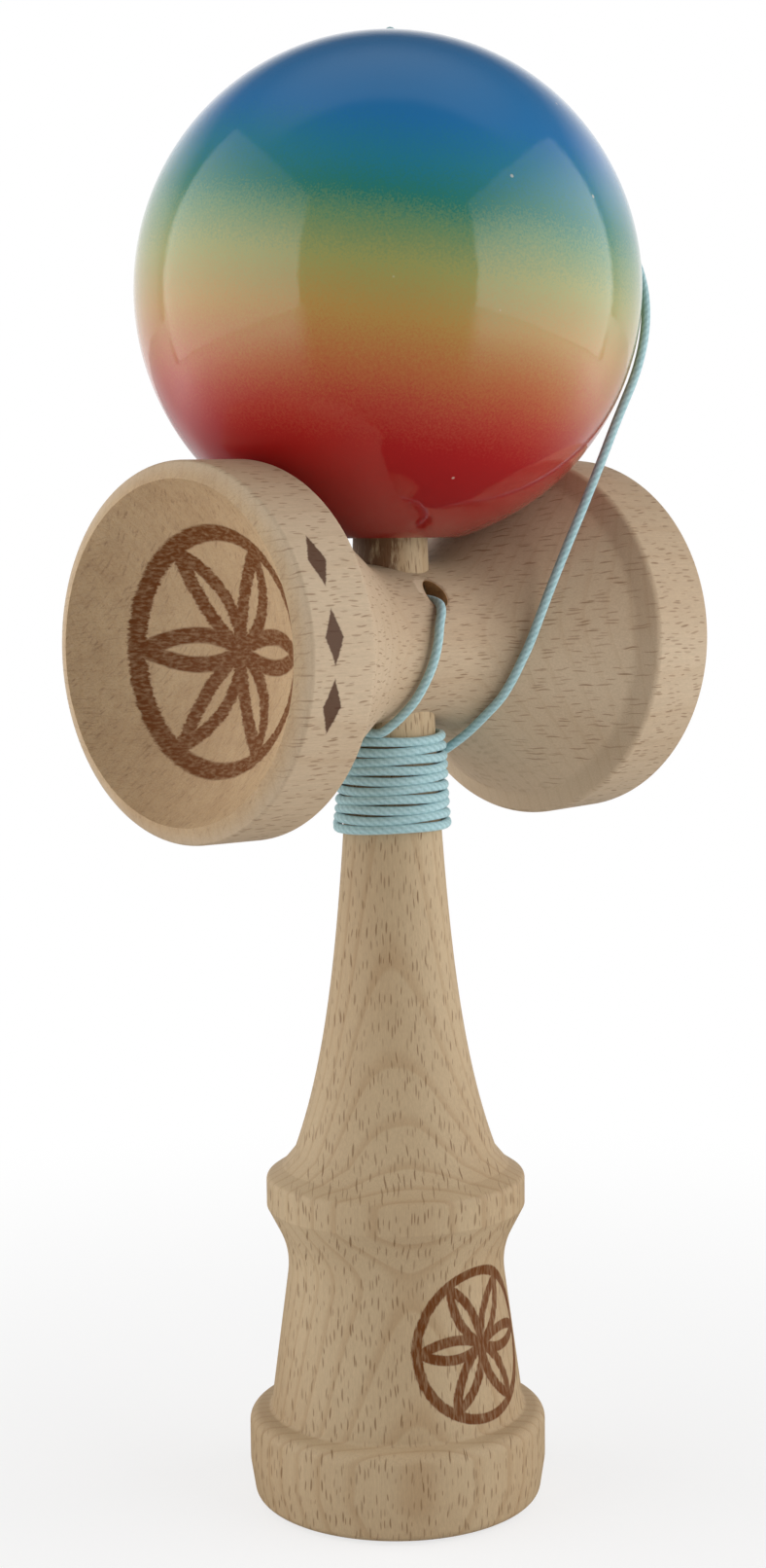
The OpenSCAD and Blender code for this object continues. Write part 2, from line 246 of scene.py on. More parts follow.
def makeHandle(shape):
    footR, baseR, drawH, baseH = shape["base"]
    mouthR, bowlDepth = shape["bowl"]
    gripFoot, gripWaist, waistH, gripH = shape["grip"]
    collarR, collarH = shape["collar"]
    shoulderR, shoulderH = shape["shoulder"]
    pocketR, pocketDepth, pocketOut = shape["pocket"]
    collarZ = baseH + gripH
    shoulderZ = collarZ + collarH
    tip, rounding = shape["tip"], shape["rounding"]
    corners = bowlArc(mouthR, bowlDepth)
    corners += [(mouthR, 0, rounding["lip"]), (footR, 0, rounding["foot"]), (baseR, drawH, drawH),
                (baseR, baseH, rounding["base"]), (gripFoot, baseH + shape["gripStep"], rounding["step"]),
                (gripWaist, baseH + waistH, rounding["waist"]), (collarR, collarZ, rounding["collar"]),
                (collarR, shoulderZ, rounding["roll"]), (shoulderR, shoulderZ + shoulderH, rounding["roll"])]
    corners += [(neckAt(z), z, 0) for z in evenly(neckFootZ, seatZ, shape["neckSteps"])]
    corners += [(shankAt(tip), tip, rounding["tip"]), (0, tip, 0)]
    handle = meshObject("turnedHandle", turnedMesh(roundedProfile(corners), shape["spinSteps"]))
    pocketEnd = shankAt(cordHoleZ) - pocketDepth
    cutAway(handle, coneCutter(pocketR, pocketR, pocketEnd, pocketOut, towardsFront=True))
    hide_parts("handle")
    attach(handle, "handle")
    return handle


handle = makeHandle(handleShape)
print("handle turned,", len(handle.data.polygons), "faces")


# crosspiece: a cup at each end, pushed on the handle's taper
crossShape = {
    "reach": 34.1,
    "small": (21.55, 10.1, 10.0),  # radius, width of the band, depth of the bowl
    "big": (22.4, 10.6, 10.5),
    "lip": 2.0,
    "draw": 0.25,  # how far a band draws in towards its lip
    "slope": (0.05, 1),  # the lip's outer edge: out from its radius, back from the mouth
    "hollow": (1.5, 2.6),  # width and rise behind a band
    "waist": 14.2,
    "rounding": {"mouth": 0.15, "slope": 0.6, "ridge": 1, "hollow": 2.5, "waist": 10},
    "fitGap": 0.05,
    "stringHole": (1.6, 14, 40),  # radius, how far out its cutter reaches, the cutter's sides
    "spinSteps": 192,
}


def makeCrosspiece(shape):
    reach, lip, draw, rounding = shape["reach"], shape["lip"], shape["draw"], shape["rounding"]
    slopeOut, slopeBack = shape["slope"]
    hollowW, hollowRise = shape["hollow"]
    holeR, holeOut, holeSides = shape["stringHole"]

    def cupEnd(radius, band, depth):
        # from the bowl's middle out over the lip and back to the flare's end
        mouth = radius - draw - lip
        ends = [(r, reach - h, 0) for r, h, _ in bowlArc(mouth, depth)]
        ends += [(mouth, reach, rounding["mouth"]), (radius - draw + slopeOut, reach - slopeBack, rounding["slope"]),
                 (radius, reach - band, rounding["ridge"]),
                 (radius - hollowRise, reach - band - hollowW, rounding["hollow"])]
        return ends

    big = cupEnd(*shape["big"])
    small = [(r, -h, edge) for r, h, edge in cupEnd(*shape["small"])]
    waist = [(waistR, side * shape["waist"] / 2, rounding["waist"]) for side in (-1, 1)]
    bm = turnedMesh(roundedProfile(small + waist + big[::-1]), shape["spinSteps"])
    layDown(bm, "Y")
    shift(bm, (0, 0, crossZ))
    cross = meshObject("cupCrosspiece", bm)
    topZ = crossZ + waistR + seatRoom
    cutAway(cross, coneCutter(shankAt(seatZ) + shape["fitGap"], shankAt(topZ) + shape["fitGap"], seatZ, topZ))
    cutAway(cross, coneCutter(holeR, holeR, 0, holeOut, towardsFront=True, segments=holeSides))
    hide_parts("cup_crosspiece")
    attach(cross, "handle")
    return cross


cross = makeCrosspiece(crossShape)
print("crosspiece turned,", len(cross.data.polygons), "faces")


# ball with its spike hole and string hole: radius, height and rounding of each corner
ballShape = {
    "radius": 30.0,
    "arcSteps": 90,
    "spinSteps": 192,
    "mouth": (8.2, 117.325, 0.25),
    "bevel": (7.5, 118.025, 0.2),
    "holeEnd": (7.5, 159.852, 0),
    "stringHoleEnd": (1.5, 163.457, 0),
    "sinkEnd": (1.5, 174.311, 0.4),
    "countersink": (3.2, 176.011, 0.3),
}


def makeBall(shape):
    radius = shape["radius"]
    first = math.asin(shape["mouth"][0] / radius)
    last = math.pi - math.asin(shape["countersink"][0] / radius)
    arc = [(radius * math.sin(a), ballZ - radius * math.cos(a), 0) for a in evenly(first, last, shape["arcSteps"])]
    corners = [shape["mouth"], *arc[1:-1]]
    corners += [shape[key] for key in ("countersink", "sinkEnd", "stringHoleEnd", "holeEnd", "bevel")]
    profile = roundedProfile(corners, closed=True)
    ball = meshObject("lacqueredBall", turnedMesh(profile, shape["spinSteps"], closed=True))
    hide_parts("ball")
    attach(ball, "ball")
    return ball


ball = makeBall(ballShape)
print("ball turned,", len(ball.data.polygons), "faces")


# string: the route follows the one that the model was built with; points are from the crosspiece's middle
stringShape = {
    "diameter": 1.1,
    "pitch": 1.15,
    "turns": 10,
    "drop": 10.4,
    "start": -165,  # degrees
    "climb": (-230, -348, 15.2),  # from, to, drop of its end
    "climbOver": 0.35,  # share of the climb in which it steps over the last turn
    "climbCurve": 1.3,
    "gap": 0.1,
    "uneven": (0.12, 2.7, 1.3),  # up and down: how far, how often, from where
    "bulge": (0.048, 1.87),  # outwards: how far, how often
    "knotY": -2.2,
    "lead": [(0, -5.4, 5.4), (-0.1, -7.3, 5.1), (-0.6, -8.8, 4.65), (-1.4, -9.7, 3.7), (-2.1, -10.1, 2.4),
             (-2.7, -10.4, 0.5), (-3.3, -10.25, -1.8), (-3.9, -9.6, -4), (-4.4, -8.3, -6.3),
             (-4.8, -6.6, -8.1), (-5.1, -5, -9.4)],
    "leadEnd": 1.9,  # straight run into the first turn
    "riserStart": 0.7,  # straight run off the last turn
    "riser": [(7.9, -2.4, -12.7), (8.6, -4.6, -11), (8.5, -7.8, -8.6), (8.9, -9.8, -6.6), (9.3, -11.3, -4.3),
              (9.8, -12.3, -2.1), (10.6, -13, 0.2), (12.1, -14.4, 5.6), (13.7, -15.9, 11.1),
              (15.2, -17.4, 16.2), (16.5, -18.8, 21), (17.9, -20.1, 25.9)],
    "freeFrom": 6,  # the riser's point from which the string moves with the ball; here the whole riser stays still
    "ballGap": 0.25,
    "side": (-48, 78),  # where it meets the ball, and its swing round to the ball's back
    "touch": -21,  # elevation where it meets the ball
    "bend": 2.6,
    "tail": 156.6,
}


def windingPath(shape, perTurn=48):
    pitch, start, over = shape["pitch"], shape["start"], shape["climbOver"]
    climbFrom, climbTo, endDrop = shape["climb"]
    unevenFar, unevenOften, unevenFrom = shape["uneven"]
    bulgeFar, bulgeOften = shape["bulge"]
    top = crossZ - shape["drop"]
    helixEnd = climbFrom - 360 * shape["turns"]
    climb = climbFrom - climbTo

    def helixZ(a):
        return top + pitch * (a - start) / 360

    rise = crossZ - endDrop - helixZ(helixEnd - climb) - pitch
    points = []
    count = math.ceil((start - helixEnd + climb) * perTurn / 360)
    for i in range(count + 1):
        a = max(start - i * 360 / perTurn, helixEnd - climb)
        t = max((helixEnd - a) / climb, 0)
        step = math.pi / 2 * eased(min(t / over, 1))
        z = helixZ(a) + pitch * (1 - math.cos(step)) + rise * max((t - over) / (1 - over), 0) ** shape["climbCurve"]
        r = neckAt(z) + shape["diameter"] / 2 + shape["gap"] + pitch * math.sin(step)
        turn = math.radians(a)
        # hand-wound turns don't lie quite evenly
        loose = min(1, i / perTurn, (count - i) / perTurn)
        z += loose * unevenFar * math.sin(unevenOften * turn + unevenFrom)
        r += loose * bulgeFar * (1 + math.sin(bulgeOften * turn))
        points.append(polar(r, turn, z))
    return points


def overBallPath(shape, arcSteps=52, bendSteps=10, tailSteps=4):
    side, swing = shape["side"]
    over = ballShape["radius"] + shape["ballGap"] + shape["diameter"] / 2
    bend = shape["bend"]
    bendZ = ballZ + math.sqrt((over - bend) ** 2 - bend ** 2)
    bendStart = math.acos(bend / (over - bend))
    touch = math.radians(shape["touch"])
    # share of the swing, radius and height of each point
    flat = []
    for t in evenly(0, 1, arcSteps):
        a = touch + (bendStart - touch) * t
        flat.append((eased(t), over * math.cos(a), ballZ + over * math.sin(a)))
    for a in evenly(bendStart, math.pi, bendSteps)[1:]:
        flat.append((1, bend * (1 + math.cos(a)), bendZ + bend * math.sin(a)))
    flat += [(1, 0, z) for z in evenly(bendZ, shape["tail"], tailSteps)[1:]]
    return [polar(r, math.radians(side + swing * share), z) for share, r, z in flat]


def smoothed(route, steps=4):
    path = []
    for i in range(len(route) - 1):
        a, b, c, d = route[max(i - 1, 0)], route[i], route[i + 1], route[min(i + 2, len(route) - 1)]
        for k in range(steps):
            t = k / steps
            path.append(b + t / 2 * ((c - a) + t * ((2 * a - 5 * b + 4 * c - d) + t * (3 * b - a - 3 * c + d))))
    return path + [route[-1]]


def pathLength(path):
    return sum((b - a).length for a, b in zip(path, path[1:]))


def cordTube(name, path, diameter, sides=14, firstOut=(0.3, 0.2, 1)):
    # round tube with its own UV map: around the cord, and along it in millimetres
    bm = bmesh.new()
    uv = bm.loops.layers.uv.new("braid")
    count = len(path)
    along = [(path[min(i + 1, count - 1)] - path[max(i - 1, 0)]).normalized() for i in range(count)]
    out = Vector(firstOut)
    rings, runs, run = [], [], 0.0
    for i, point in enumerate(path):
        out = (out - out.dot(along[i]) * along[i]).normalized()
        other = along[i].cross(out)
        ring = []
        for k in range(sides):
            a = 2 * math.pi * k / sides
            ring.append(bm.verts.new((point + (out * math.cos(a) + other * math.sin(a)) * diameter / 2) * mm))
        rings.append(ring)
        run += (path[i] - path[i - 1]).length if i else 0
        runs.append(run)
    for i in range(count - 1):
        for k in range(sides):
            n = (k + 1) % sides
            face = bm.faces.new((rings[i][k], rings[i][n], rings[i + 1][n], rings[i + 1][k]))
            for loop, corner in zip(face.loops, ((k, i), (k + 1, i), (k + 1, i + 1), (k, i + 1))):
                loop[uv].uv = (corner[0] / sides, runs[corner[1]])
    bm.faces.new(rings[0][::-1])
    bm.faces.new(rings[-1])
    bmesh.ops.recalc_face_normals(bm, faces=bm.faces)
    return meshObject(name, bm, sharpAngle=60)


def makeString(shape):
    middle = Vector((0, 0, crossZ))
    leadPoints = [Vector(p) + middle for p in shape["lead"]]
    riserPoints = [Vector(p) + middle for p in shape["riser"]]
    winding = windingPath(shape)
    over = overBallPath(shape)
    intoTurn = (winding[1] - winding[0]).normalized()
    offTurn = (winding[-1] - winding[-2]).normalized()
    knotFace = Vector((0, shape["knotY"], cordHoleZ))
    lead = smoothed([knotFace, *leadPoints, winding[0] - intoTurn * shape["leadEnd"], winding[0]])
    riser = smoothed([winding[-1], winding[-1] + offTurn * shape["riserStart"], *riserPoints, over[0]])
    woundPath = lead + winding[1:]
    riserPath = riser + over[1:]

    wound = cordTube("woundString", woundPath, shape["diameter"])
    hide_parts("string_lead", "string_winding")
    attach(wound, "handle")
    loose = cordTube("risingString", riserPath, shape["diameter"])
    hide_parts("string_riser", "string_over_ball")
    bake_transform(loose)
    print("string laid, mm:", round(pathLength(woundPath), 1), "+", round(pathLength(riserPath), 1))
    return wound, loose


wound, loose = makeString(stringShape)


# knots at the string's two ends, and the bead that stops the upper one
endShape = {
    "knot": 2.8,  # its length and its width
    "wraps": 3,
    "wrapSteps": 8,
    "stopZ": 155.2,
    "anchorY": -0.7935,
    "bead": (3.4, 0.95, 160.1),  # radius, radius of its bore, height
    "beadSteps": 30,
    "knotSpin": 32,
    "beadSpin": 48,
}


def makeKnot(name, shape, body, nodeName, place, lying):
    half = shape["knot"] / 2
    wrapR = half / shape["wraps"]
    corners = [(0, -half, 0)]
    for i in range(shape["wraps"]):
        for a in evenly(-math.pi / 2, math.pi / 2, shape["wrapSteps"]):
            corners.append((half - wrapR + wrapR * math.cos(a), -half + (2 * i + 1) * wrapR + wrapR * math.sin(a), 0))
    corners.append((0, half, 0))
    bm = turnedMesh(roundedProfile(corners), shape["knotSpin"])
    if lying:
        layDown(bm, "X")
    shift(bm, place)
    knot = meshObject(name, bm, sharpAngle=50)
    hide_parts(nodeName)
    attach(knot, body)
    return knot


def makeBead(shape):
    radius, bore, z = shape["bead"]
    first = math.asin(bore / radius)
    corners = [(radius * math.sin(a), z - radius * math.cos(a), 0)
               for a in evenly(first, math.pi - first, shape["beadSteps"])]
    profile = roundedProfile(corners, closed=True)
    bead = meshObject("stopBead", turnedMesh(profile, shape["beadSpin"], closed=True))
    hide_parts("bead")
    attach(bead, "string_end")
    return bead


stopKnot = makeKnot("stopKnot", endShape, "string_end", "stop_knot", (0, 0, endShape["stopZ"]), False)
anchorKnot = makeKnot("anchorKnot", endShape, "handle", "anchor_knot", (0, endShape["anchorY"], cordHoleZ), True)
bead = makeBead(endShape)
print("knots and bead made")


# node helpers: what goes into a socket is another socket or a constant
class NodeNet:
    def __init__(self, tree):
        self.tree = tree

    def add(self, kind):
        return self.tree.nodes.new("ShaderNode" + kind)

    def plug(self, socket, value):
        if isinstance(value, bpy.types.NodeSocket):
            self.tree.links.new(value, socket)
        else:
            socket.default_value = value

    def fill(self, node, values):
        for label, value in values.items():
            self.plug(node.inputs[label], value)
        return node.outputs

    def use(self, group, **values):
        node = self.add("Group")
        node.node_tree = group
        return self.fill(node, values)

    def calc(self, operation, *values, clamp=False):
        node = self.add("Math")
        node.operation = operation
        node.use_clamp = clamp
        return self.fill(node, dict(enumerate(values)))[0]

    def times(self, value, *others):
        for other in others:
            value = self.calc("MULTIPLY", value, other)
        return value

    def plus(self, value, *others):
        for other in others:
            value = self.calc("ADD", value, other)
        return value

    def minus(self, a, b):
        return self.calc("SUBTRACT", a, b)

    def over(self, a, b):
        return self.calc("DIVIDE", a, b)

    def absolute(self, value):
        return self.calc("ABSOLUTE", value)

    def scaleAdd(self, value, scale, added, clamp=False):
        return self.calc("MULTIPLY_ADD", value, scale, added, clamp=clamp)

    def length(self, *values):
        return self.calc("SQRT", self.plus(*[self.times(value, value) for value in values]))

    def angle(self, a, b):
        # round from the negative side of b towards a
        return self.calc("ARCTAN2", a, self.times(b, -1.0))

    def fade(self, value, low, high):
        node = self.add("MapRange")
        node.interpolation_type = "SMOOTHSTEP"
        return self.fill(node, {"Value": value, "From Min": low, "From Max": high})[0]

    def fadeOut(self, value, low, high):
        return self.minus(1.0, self.fade(value, low, high))

    def band(self, value, rise, fall):
        return self.times(self.fade(value, *rise), self.fadeOut(value, *fall))

    def mix(self, factor, a, b, mode="MIX"):
        node = self.add("Mix")
        node.data_type = "RGBA"
        node.blend_type = mode
        # the node's colour sockets come after those for numbers and vectors
        return self.fill(node, {0: factor, 6: a, 7: b})[2]

    def scaled(self, vector, scale):
        node = self.add("VectorMath")
        node.operation = "MULTIPLY"
        return self.fill(node, {0: vector, 1: scale})[0]

    def split(self, vector):
        return self.fill(self.add("SeparateXYZ"), {0: vector})

    def join(self, x, y, z):
        return self.fill(self.add("CombineXYZ"), {"X": x, "Y": y, "Z": z})[0]

    def noise(self, place, scale, detail=2.0, roughness=0.5):
        # the scale is one number, or three that stretch the noise
        if isinstance(scale, tuple):
            place, scale = self.scaled(place, scale), 1.0
        values = {"Vector": place, "Scale": scale, "Detail": detail, "Roughness": roughness}
        return self.fill(self.add("TexNoise"), values)["Fac"]

    def voronoi(self, place, scale, dimensions):
        node = self.add("TexVoronoi")
        node.voronoi_dimensions = dimensions
        return self.fill(node, {"Vector": place, "Scale": scale})

    def bump(self, height, strength, distance):
        return self.fill(self.add("Bump"), {"Strength": strength, "Distance": distance, "Height": height})[0]

    def mixShaders(self, factor, a, b):
        return self.fill(self.add("MixShader"), {0: factor, 1: a, 2: b})[0]


def srgb(r, g, b):
    return tuple(c / 255 / 12.92 if c <= 10 else ((c / 255 + 0.055) / 1.055) ** 2.4 for c in (r, g, b)) + (1,)


def newGroup(name, inputs, outputs):
    tree = bpy.data.node_groups.new(name, "ShaderNodeTree")
    for way, sockets in (("INPUT", inputs), ("OUTPUT", outputs)):
        for label, kind in sockets.items():
            tree.interface.new_socket(label, in_out=way, socket_type="NodeSocket" + kind)
    return NodeNet(tree), tree.nodes.new("NodeGroupInput").outputs, tree.nodes.new("NodeGroupOutput")


def newMaterial(name):
    material = bpy.data.materials.new(name)
    material.use_nodes = True
    net = NodeNet(material.node_tree)
    return material, net, net.tree.nodes["Principled BSDF"], net.add("TexCoord").outputs


def inMillimetres(net, where):
    return net.scaled(where["Object"], (1 / mm, 1 / mm, 1 / mm))


def paint(obj, material):
    obj.data.materials.clear()
    obj.data.materials.append(material)


# beech: Place is in millimetres with the grain along its Z, Heart is where the rings' middle lies.
# A noise is given by its scale, detail and roughness, and an edge by where it starts and ends.
grainLook = {
    "broad": ((0.06, 0.06, 0.015), 3.0),
    "broadEdge": (0.3, 0.7),
    "broadShare": 0.45,
    "sway": ((0.05, 0.05, 0.012), 2.0),
    "swayFar": 3.0,
    "ringWidth": 1.6,
    "ringLine": ((0.62, 0.94), (0.94, 1.0)),
    "warp": ((0.5, 0.5, 0.25), 1.0),
    "dashWarp": 0.6,
    "dashAlong": 0.28,  # cells in a millimetre
    "dashSize": (0.16, 0.1),  # how far it varies, and its least
    "dashEdge": (0.55, 1.15),
    "dashTone": (0.6, 0.4),
    "dashFacing": (0.22, 0.5),
    "patchWarp": 2.0,
    "patchOut": 0.45,
    "patchAlong": 0.8,
    "patchEdge": (0.12, 0.34),
    "patchUpright": (0.5, 0.8),
    "patchFacing": (0.1, 0.5),
    "patchShare": 0.3,
    "fibre": ((5.0, 5.0, 0.22), 4.0, 0.6),
    "pore": ((7.0, 7.0, 1.6), 2.0, 0.6),
    "streak": (0.3, 0.24, 0.73),  # share of the fibres, of the pores, and the rest
    "relief": (0.5, 0.35, -0.5),  # height of fibres, pores and flecks
    "roughness": (0.2, 0.46),
}


def makeBeechGrain(look):
    net, given, put = newGroup(
        "beechGrain",
        {"Place": "Vector", "Face": "Vector", "Heart": "Vector", "Rays": "Float", "Fine": "Float",
         "Rings": "Float", "Pale": "Color", "Warm": "Color", "Fleck": "Color"},
        {"Color": "Color", "Height": "Float", "Roughness": "Float"})
    place = given["Place"]
    x, y, z = net.split(place)
    heartX, heartY, _ = net.split(given["Heart"])
    dx, dy = net.minus(x, heartX), net.minus(y, heartY)
    far = net.length(dx, dy)
    # growth rings: each darkens towards its outer edge
    swayed = net.scaleAdd(net.noise(place, *look["sway"]), look["swayFar"], far)
    ringLine = net.band(net.calc("FRACT", net.over(swayed, look["ringWidth"])), *look["ringLine"])
    # rays: thin sheets that run from the heart outwards, seen as short dashes
    around = net.times(net.angle(dx, dy), net.length(heartX, heartY))
    warp = net.noise(place, *look["warp"])
    dashAcross = net.times(net.scaleAdd(warp, look["dashWarp"], around), given["Fine"])
    cell = net.voronoi(net.join(dashAcross, net.times(z, look["dashAlong"]), 0.0), 1.0, "2D")
    sizeLuck, toneLuck, _ = net.split(cell["Color"])
    dash = net.fadeOut(net.over(cell["Distance"], net.scaleAdd(sizeLuck, *look["dashSize"])), *look["dashEdge"])
    dash = net.times(dash, net.scaleAdd(toneLuck, *look["dashTone"]))
    # dashes where a face looks to the heart, broad faint patches where it lies along the rays
    faceX, faceY, _ = net.split(given["Face"])
    towards = net.absolute(net.over(net.plus(net.times(faceX, dx), net.times(faceY, dy)), far))
    dash = net.times(dash, net.fade(towards, *look["dashFacing"]))
    patchAcross = net.scaleAdd(warp, look["patchWarp"], net.times(far, look["patchOut"]))
    sheet = net.voronoi(net.join(patchAcross, net.times(z, look["patchAlong"]), 0.0), 1.0, "2D")
    upright = net.fade(net.length(faceX, faceY), *look["patchUpright"])
    quartered = net.calc("SUBTRACT", upright, net.fade(towards, *look["patchFacing"]), clamp=True)
    patch = net.times(net.fadeOut(sheet["Distance"], *look["patchEdge"]), quartered)
    fleck = net.scaleAdd(patch, look["patchShare"], dash, clamp=True)
    # fibres and pores
    fibre, pore = net.noise(place, *look["fibre"]), net.noise(place, *look["pore"])
    fibreTone, poreTone, restTone = look["streak"]
    streak = net.scaleAdd(fibre, fibreTone, net.scaleAdd(pore, poreTone, restTone))
    broad = net.times(net.fade(net.noise(place, *look["broad"]), *look["broadEdge"]), look["broadShare"])
    tone = net.calc("ADD", broad, net.times(ringLine, given["Rings"]), clamp=True)
    colour = net.mix(tone, given["Pale"], given["Warm"])
    colour = net.mix(1.0, colour, net.join(streak, streak, streak), "MULTIPLY")
    fibreH, poreH, fleckH = look["relief"]
    net.fill(put, {
        "Color": net.mix(net.times(fleck, given["Rays"]), colour, given["Fleck"]),
        "Height": net.scaleAdd(fleck, fleckH, net.scaleAdd(fibre, fibreH, net.times(pore, poreH))),
        "Roughness": net.scaleAdd(fibre, *look["roughness"]),
    })
    return net.tree


# six petals struck with a compass, burnt in as outlines
rosetteLook = {
    "arcMiddle": (0.5, -0.866),  # of a petal's upper side, in reaches
    "rim": 1.06,
    "edge": (0.8, 1.15),
}


def makeBurntRosette(look):
    net, given, put = newGroup(
        "burntRosette", {"Across": "Float", "Up": "Float", "Reach": "Float", "Line": "Float"}, {"Burn": "Float"})
    across, up, reach, line = given["Across"], given["Up"], given["Reach"], given["Line"]
    far = net.length(across, up)
    turn = net.calc("WRAP", net.calc("ARCTAN2", up, across), math.pi / 6, -math.pi / 6)
    px = net.times(far, net.calc("COSINE", turn))
    py = net.absolute(net.times(far, net.calc("SINE", turn)))
    arcX, arcY = look["arcMiddle"]
    fromMiddle = net.length(net.minus(px, net.times(reach, arcX)), net.minus(py, net.times(reach, arcY)))
    petal = net.over(net.absolute(net.minus(fromMiddle, reach)), line)
    rim = net.over(net.absolute(net.minus(far, net.times(reach, look["rim"]))), line)
    net.fill(put, {"Burn": net.fadeOut(net.calc("MINIMUM", petal, rim), *look["edge"])})
    return net.tree


beechGrain = makeBeechGrain(grainLook)
burntRosette = makeBurntRosette(rosetteLook)

# what the pieces of beech share
beechLook = {
    "burn": srgb(106, 57, 14),
    # dark brown of torn fibres; on the handle's shank it also paints the shade under the ball
    "tornAndShade": srgb(104, 64, 36),
    "wear": (1.3, 0.25),  # how far a burn's strength varies, and its least
    "bump": (0.35, 0.00012),
    "specular": 0.16,
}


def finishBeech(net, shader, grain, colour, sunk=0.0):
    net.fill(shader, {
        "Base Color": colour,
        "Roughness": grain["Roughness"],
        "Normal": net.bump(net.minus(grain["Height"], sunk), *beechLook["bump"]),
        "Specular IOR Level": beechLook["specular"],
    })


handleLook = {
    "grain": {"Heart": (36, 44, 0), "Rays": 0.72, "Fine": 2.6, "Rings": 0.36, "Pale": srgb(191, 168, 135),
              "Warm": srgb(166, 136, 100), "Fleck": srgb(112, 78, 44)},
    "ragged": ((2.6, 2.6, 0.9), 3.0, 0.6),
    "raggedFar": 0.6,
    "gripR": 13.9,
    "rosetteZ": 21.6,
    "rosette": {"Reach": 8.2, "Line": 0.62},
    "grip": ((11.4, 12.0), (31.5, 32.0)),
    "worn": ((3.5, 3.5, 0.5), 3.0),
    # the shank's dark band: torn fibres, with painted shade under the ball that deepens on the shank's left side
    "tear": ((1.3, 1.3, 0.3), 4.0, 0.65),
    "tornAndShadedBand": ((112.5, 114.0), (117.0, 122.0)),
    "shadedSideEdge": (-2.5, 3.5),
    "shadedSideShare": 0.3,
    "tearEdge": (0.56, 0.74),
    "tearShare": 0.8,
}


def makeHandleBeech(look):
    material, net, shader, where = newMaterial("handleBeech")
    place = inMillimetres(net, where)
    x, y, z = net.split(place)
    grain = net.use(beechGrain, Place=place, Face=where["Normal"], **look["grain"])
    # rosette on the front of the grip
    ragged = net.minus(net.noise(place, *look["ragged"]), 0.5)
    across = net.scaleAdd(ragged, look["raggedFar"], net.times(net.angle(x, y), look["gripR"]))
    rosette = net.use(burntRosette, Across=across, Up=net.minus(z, look["rosetteZ"]), **look["rosette"])
    worn = net.scaleAdd(net.noise(place, *look["worn"]), *beechLook["wear"], clamp=True)
    burn = net.times(rosette["Burn"], net.band(z, *look["grip"]), worn)
    colour = net.mix(burn, grain["Color"], beechLook["burn"])
    # torn fibres where the shank leaves the crosspiece, mixed with painted shade from the ball that is deeper on the
    # shank's left side
    side = net.fadeOut(net.minus(x, y), *look["shadedSideEdge"])
    shadeAndTearPattern = net.scaleAdd(side, look["shadedSideShare"], net.noise(place, *look["tear"]))
    tornAndShade = net.times(net.band(z, *look["tornAndShadedBand"]), net.fade(shadeAndTearPattern, *look["tearEdge"]))
    colour = net.mix(net.times(tornAndShade, look["tearShare"]), colour, beechLook["tornAndShade"])
    finishBeech(net, shader, grain, colour, net.plus(burn, tornAndShade))
    return material


crossLook = {
    "grain": {"Heart": (-8, 95, 0), "Fine": 2.7, "Rings": 0.14, "Pale": srgb(196, 175, 148),
              "Warm": srgb(171, 143, 112), "Fleck": srgb(112, 78, 44)},
    "rays": (-0.4, 0.62),  # less of them in the bowls
    "endGrain": ((19.0, 21.5), (23.3, 23.5)),  # from the axis, from the middle
    "endTone": srgb(255, 242, 220),
    "fuzz": ((1.5, 4.0, 4.0), 4.0, 0.7),
    "fuzzShare": (1.3, 0.1),
    "fuzzEdge": (0.52, 0.7),
    "fuzzTorn": 0.14,
    "fuzzRelief": 1.4,
    "tearSlope": 38,  # degrees
    "tearStretch": (3.6, 0.55),
    "tear": (1.0, 3.0, 0.6),
    "tearEdge": (0.55, 0.72),
    "tearShare": 0.34,
    "mottle": ((0.3, 0.45, 0.45), 4.0, 0.6),
    "mottleEdge": (0.42, 0.68),
    "mottleShare": 0.1,
}


def gougedEnds(net, look, place, endGrain, colour):
    # the gouge left the end grain in the bowls fuzzy, mottled and torn
    x, y, z = net.split(place)
    up = net.minus(z, crossZ)
    fuzz = net.noise(place, *look["fuzz"])
    pale = net.times(endGrain, net.scaleAdd(fuzz, *look["fuzzShare"], clamp=True))
    colour = net.mix(pale, colour, look["endTone"], "MULTIPLY")
    slope = math.radians(look["tearSlope"])
    overTear = net.plus(net.times(y, math.cos(slope)), net.times(up, math.sin(slope)))
    alongTear = net.minus(net.times(up, math.cos(slope)), net.times(y, math.sin(slope)))
    overStretch, alongStretch = look["tearStretch"]
    tearPlace = net.join(net.times(overTear, overStretch), net.times(alongTear, alongStretch), x)
    tear = net.fade(net.noise(tearPlace, *look["tear"]), *look["tearEdge"])
    mottle = net.fade(net.noise(place, *look["mottle"]), *look["mottleEdge"])
    rough = net.scaleAdd(tear, look["tearShare"], net.times(mottle, look["mottleShare"]))
    rough = net.scaleAdd(net.fade(fuzz, *look["fuzzEdge"]), look["fuzzTorn"], rough)
    rough = net.times(rough, endGrain)
    sunk = net.scaleAdd(net.times(endGrain, fuzz), look["fuzzRelief"], rough)
    return net.mix(rough, colour, beechLook["tornAndShade"]), sunk


# burnt into the small cup: a rosette in its bowl and a row of lozenges on its band
markLook = {
    "worn": ((0.5, 1.2, 3.5), 3.0),
    "ragged": ((0.5, 1.0, 2.8), 4.0, 0.65),
    "rosetteRagged": 1.3,
    "rosette": {"Reach": 12.6, "Line": 0.95},
    "bowl": ((16.6, 17.0), (-23.6, -23.4)),  # from the axis, from the middle
    "lozengeRagged": 0.5,
    "lozengeX": -30.0,
    "lozengeHalf": (1.35, 3.1),  # along the crosspiece, round the band
    "lozengeTurns": (29.0, 6.0, -14.0),  # degrees
    "lozengeEdge": (0.88, 1.08),
    "bandR": 21.4,
    "band": (20.3, 20.6),
    "lozengeTone": srgb(70, 34, 12),
    "lozengeShare": 0.9,
}


